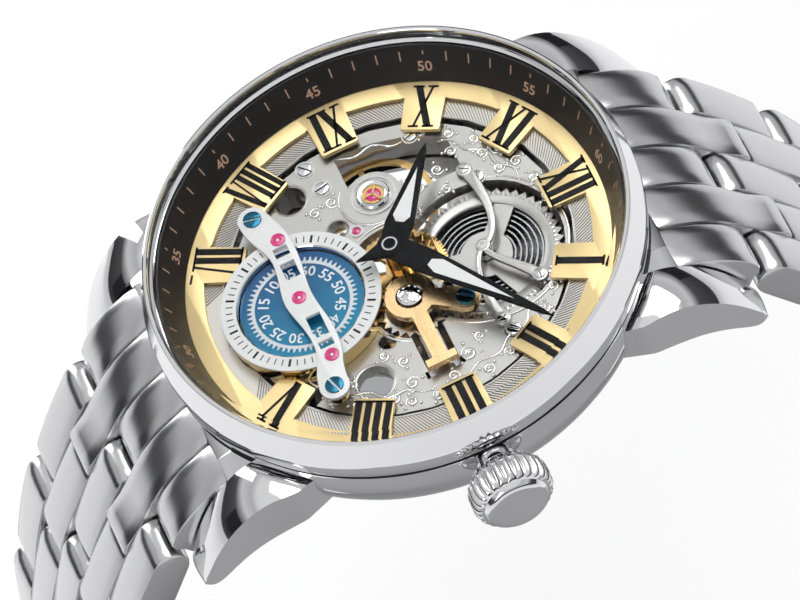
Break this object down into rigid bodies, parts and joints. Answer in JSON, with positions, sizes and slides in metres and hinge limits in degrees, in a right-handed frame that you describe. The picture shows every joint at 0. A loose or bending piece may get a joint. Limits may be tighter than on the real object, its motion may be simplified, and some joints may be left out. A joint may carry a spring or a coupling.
{
  "type": "skeleton wristwatch",
  "caption": "Skeleton wristwatch with an open-worked hand-wound movement, a small seconds disc, a fluted crown and a steel link bracelet with a folding clasp.",
  "frame": {"origin": "centre of the case back's outer flat face", "axes": "+Z out of the dial towards the viewer, +Y towards 12 o'clock, +X towards 3 o'clock and the crown"},
  "size_m": [0.0465, 0.0838, 0.1184],
  "materials": {
    "polished_steel": "mirror polished stainless steel",
    "brushed_steel": "straight brushed stainless steel",
    "nickel": "frosted nickel plate with engraved scrolls",
    "brass": "gilded brass wheels",
    "gold": "polished pale gold plate",
    "blue_lacquer": "blue lacquer with a pale print",
    "white_lacquer": "white enamel",
    "black_lacquer": "matte black with copper print",
    "glass": "clear sapphire crystal",
    "hand_black": "black lacquered frame with white lume"
  },
  "bodies": {
    "case": {"case_middle": "polished_steel", "bezel": "polished_steel", "crystal": "glass", "case_back": "polished_steel", "back_glass": "glass", "rehaut": "black_lacquer", "chapter_ring": "gold", "hatched_ring": "brushed_steel", "movement_ring": "brushed_steel", "main_plate": "nickel", "train_bridge": "nickel", "balance_cock": "nickel", "barrel_cock": "brushed_steel", "key_bridge": "gold", "seconds_seat": "gold", "seconds_ring": "white_lacquer", "seconds_bridge": "white_lacquer", "spring_bar_12": "brushed_steel", "spring_bar_6": "brushed_steel", "end_link_12": "brushed_steel", "end_link_6": "brushed_steel"},
    "center": {"center_wheel": "brass", "cannon_pinion": "brushed_steel", "minute_hand": "hand_black"},
    "hour": {"hour_wheel": "brass", "hour_hand": "hand_black"},
    "minute_works": {"minute_wheel": "brushed_steel"},
    "third": {"third_wheel": "brass"},
    "seconds": {"fourth_wheel": "brass", "seconds_disc": "blue_lacquer"},
    "escape": {"escape_wheel": "brushed_steel"},
    "pallet": {"pallet_fork": "brushed_steel"},
    "balance": {"balance_wheel": "brass", "hairspring": "brushed_steel"},
    "barrel": {"barrel_drum": "nickel", "mainspring": "brushed_steel"},
    "barrel_arbor": {"barrel_arbor": "brushed_steel", "ratchet_wheel": "brushed_steel"},
    "crown_wheel": {"crown_wheel": "brushed_steel"},
    "click": {"click": "brushed_steel"},
    "setting_lever": {"setting_lever": "brushed_steel"},
    "crown": {"crown": "polished_steel", "winding_stem": "brushed_steel"},
    "clasp_cover": {"clasp_cover": "polished_steel"},
    "clasp_blade_outer": {"clasp_blade_outer": "brushed_steel"},
    "clasp_blade_inner": {"clasp_blade_inner": "brushed_steel"},
    "clasp_button_right": {"clasp_button_right": "brushed_steel"},
    "clasp_button_left": {"clasp_button_left": "brushed_steel"},
    "link_12_1": {"link_12_1": "brushed_steel"},
    "link_12_2": {"link_12_2": "brushed_steel"},
    "link_12_3": {"link_12_3": "brushed_steel"},
    "link_12_4": {"link_12_4": "brushed_steel"},
    "link_12_5": {"link_12_5": "brushed_steel"},
    "link_12_6": {"link_12_6": "brushed_steel"},
    "link_6_1": {"link_6_1": "brushed_steel"},
    "link_6_2": {"link_6_2": "brushed_steel"},
    "link_6_3": {"link_6_3": "brushed_steel"},
    "link_6_4": {"link_6_4": "brushed_steel"},
    "link_6_5": {"link_6_5": "brushed_steel"},
    "link_6_6": {"link_6_6": "brushed_steel"}
  },
  "joints": [
    {"name": "seconds_turn", "type": "hinge", "parent": "case", "child": "seconds", "pos_m": [0, -0.00845, 0.004], "axis": [0, 0, -1], "continuous": true},
    {"name": "center_turn", "type": "hinge", "parent": "case", "child": "center", "pos_m": [0, 0, 0.004], "axis": [0, 0, -1], "continuous": true},
    {"name": "hour_turn", "type": "hinge", "parent": "case", "child": "hour", "pos_m": [0, 0, 0.006], "axis": [0, 0, -1], "continuous": true},
    {"name": "minute_works_turn", "type": "hinge", "parent": "case", "child": "minute_works", "pos_m": [0.0039, -0.0003, 0.0056], "axis": [0, 0, -1], "continuous": true},
    {"name": "third_turn", "type": "hinge", "parent": "case", "child": "third", "pos_m": [0.00166, -0.00412, 0.004], "axis": [0, 0, -1], "continuous": true},
    {"name": "escape_turn", "type": "hinge", "parent": "case", "child": "escape", "pos_m": [-0.0034, -0.00511, 0.004], "axis": [0, 0, -1], "continuous": true},
    {"name": "barrel_turn", "type": "hinge", "parent": "case", "child": "barrel", "pos_m": [0.00195, 0.0068, 0.004], "axis": [0, 0, -1], "continuous": true},
    {"name": "pallet_rock", "type": "hinge", "parent": "case", "child": "pallet", "pos_m": [-0.0052, -0.00182, 0.0043], "axis": [0, 0, -1], "range_deg": [-7, 7]},
    {"name": "balance_swing", "type": "hinge", "parent": "case", "child": "balance", "pos_m": [-0.00775, 0.00072, 0.0035], "axis": [0, 0, -1], "range_deg": [-270, 270], "stiffness_Nm_per_rad": 0.000001},
    {"name": "crown_turn", "type": "hinge", "parent": "setting_lever", "child": "crown", "pos_m": [0.0234, 0, 0.0046], "axis": [1, 0, 0], "continuous": true},
    {"name": "crown_pull", "type": "slide", "parent": "case", "child": "setting_lever", "axis": [1, 0, 0], "range_m": [0, 0.0014]},
    {"name": "crown_wheel_turn", "type": "hinge", "parent": "case", "child": "crown_wheel", "pos_m": [0.0086, 0.0012, 0.0028], "axis": [0, 0, -1], "continuous": true},
    {"name": "arbor_turn", "type": "hinge", "parent": "case", "child": "barrel_arbor", "pos_m": [0.00195, 0.0068, 0.003], "axis": [0, 0, -1], "continuous": true},
    {"name": "click_pivot", "type": "hinge", "parent": "case", "child": "click", "pos_m": [-0.0037, 0.0102, 0.0028], "axis": [0, 0, 1], "range_deg": [0, 8], "stiffness_Nm_per_rad": 0.00002},
    {"name": "link_12_1_hinge", "type": "hinge", "parent": "case", "child": "link_12_1", "pos_m": [0, 0.0273, -0.003], "axis": [-1, 0, 0], "range_deg": [-15, 0]},
    {"name": "link_12_2_hinge", "type": "hinge", "parent": "link_12_1", "child": "link_12_2", "pos_m": [0, 0.03345, -0.01248], "axis": [-1, 0, 0], "range_deg": [-10, 0]},
    {"name": "link_12_3_hinge", "type": "hinge", "parent": "link_12_2", "child": "link_12_3", "pos_m": [0, 0.03769, -0.02295], "axis": [-1, 0, 0], "range_deg": [-10, 4]},
    {"name": "link_12_4_hinge", "type": "hinge", "parent": "link_12_3", "child": "link_12_4", "pos_m": [0, 0.03965, -0.03408], "axis": [-1, 0, 0], "range_deg": [-8, 6]},
    {"name": "link_12_5_hinge", "type": "hinge", "parent": "link_12_4", "child": "link_12_5", "pos_m": [0, 0.04004, -0.04537], "axis": [-1, 0, 0], "range_deg": [-5, 20]},
    {"name": "link_12_6_hinge", "type": "hinge", "parent": "link_12_5", "child": "link_12_6", "pos_m": [0, 0.04004, -0.05668], "axis": [-1, 0, 0], "range_deg": [-5, 28]},
    {"name": "link_6_1_hinge", "type": "hinge", "parent": "case", "child": "link_6_1", "pos_m": [0, -0.0273, -0.003], "axis": [1, 0, 0], "range_deg": [-15, 0]},
    {"name": "link_6_2_hinge", "type": "hinge", "parent": "link_6_1", "child": "link_6_2", "pos_m": [0, -0.03345, -0.01248], "axis": [1, 0, 0], "range_deg": [-10, 0]},
    {"name": "link_6_3_hinge", "type": "hinge", "parent": "link_6_2", "child": "link_6_3", "pos_m": [0, -0.03769, -0.02295], "axis": [1, 0, 0], "range_deg": [-10, 4]},
    {"name": "link_6_4_hinge", "type": "hinge", "parent": "link_6_3", "child": "link_6_4", "pos_m": [0, -0.03965, -0.03408], "axis": [1, 0, 0], "range_deg": [-8, 6]},
    {"name": "link_6_5_hinge", "type": "hinge", "parent": "link_6_4", "child": "link_6_5", "pos_m": [0, -0.04004, -0.04537], "axis": [1, 0, 0], "range_deg": [-5, 20]},
    {"name": "link_6_6_hinge", "type": "hinge", "parent": "link_6_5", "child": "link_6_6", "pos_m": [0, -0.04004, -0.05668], "axis": [1, 0, 0], "range_deg": [-5, 28]},
    {"name": "clasp_open", "type": "hinge", "parent": "link_12_6", "child": "clasp_cover", "pos_m": [0, 0.04004, -0.06797], "axis": [1, 0, 0], "range_deg": [0, 40]},
    {"name": "clasp_outer_fold", "type": "hinge", "parent": "clasp_cover", "child": "clasp_blade_outer", "pos_m": [0, 0.02264, -0.09971], "axis": [1, 0, 0], "range_deg": [0, 8.4]},
    {"name": "clasp_inner_fold", "type": "hinge", "parent": "clasp_blade_outer", "child": "clasp_blade_inner", "pos_m": [0, 0.03556, -0.07636], "axis": [1, 0, 0], "range_deg": [-53.6, 0]},
    {"name": "button_right_press", "type": "slide", "parent": "clasp_cover", "child": "clasp_button_right", "axis": [-1, 0, 0], "range_m": [0, 0.0008], "stiffness_N_per_m": 200},
    {"name": "button_left_press", "type": "slide", "parent": "clasp_cover", "child": "clasp_button_left", "axis": [1, 0, 0], "range_m": [0, 0.0008], "stiffness_N_per_m": 200}
  ],
  "couplings": [
    {"joint": "center_turn", "follows": "seconds_turn", "ratio": 0.016667},
    {"joint": "hour_turn", "follows": "seconds_turn", "ratio": 0.0013889},
    {"joint": "minute_works_turn", "follows": "seconds_turn", "ratio": -0.0055556},
    {"joint": "third_turn", "follows": "seconds_turn", "ratio": -0.13333},
    {"joint": "escape_turn", "follows": "seconds_turn", "ratio": -10},
    {"joint": "barrel_turn", "follows": "seconds_turn", "ratio": -0.0020833},
    {"joint": "crown_wheel_turn", "follows": "crown_turn", "ratio": 0.51852},
    {"joint": "arbor_turn", "follows": "crown_turn", "ratio": -0.38889},
    {"joint": "clasp_outer_fold", "follows": "clasp_open", "ratio": 0.21},
    {"joint": "clasp_inner_fold", "follows": "clasp_open", "ratio": -1.34}
  ]
}
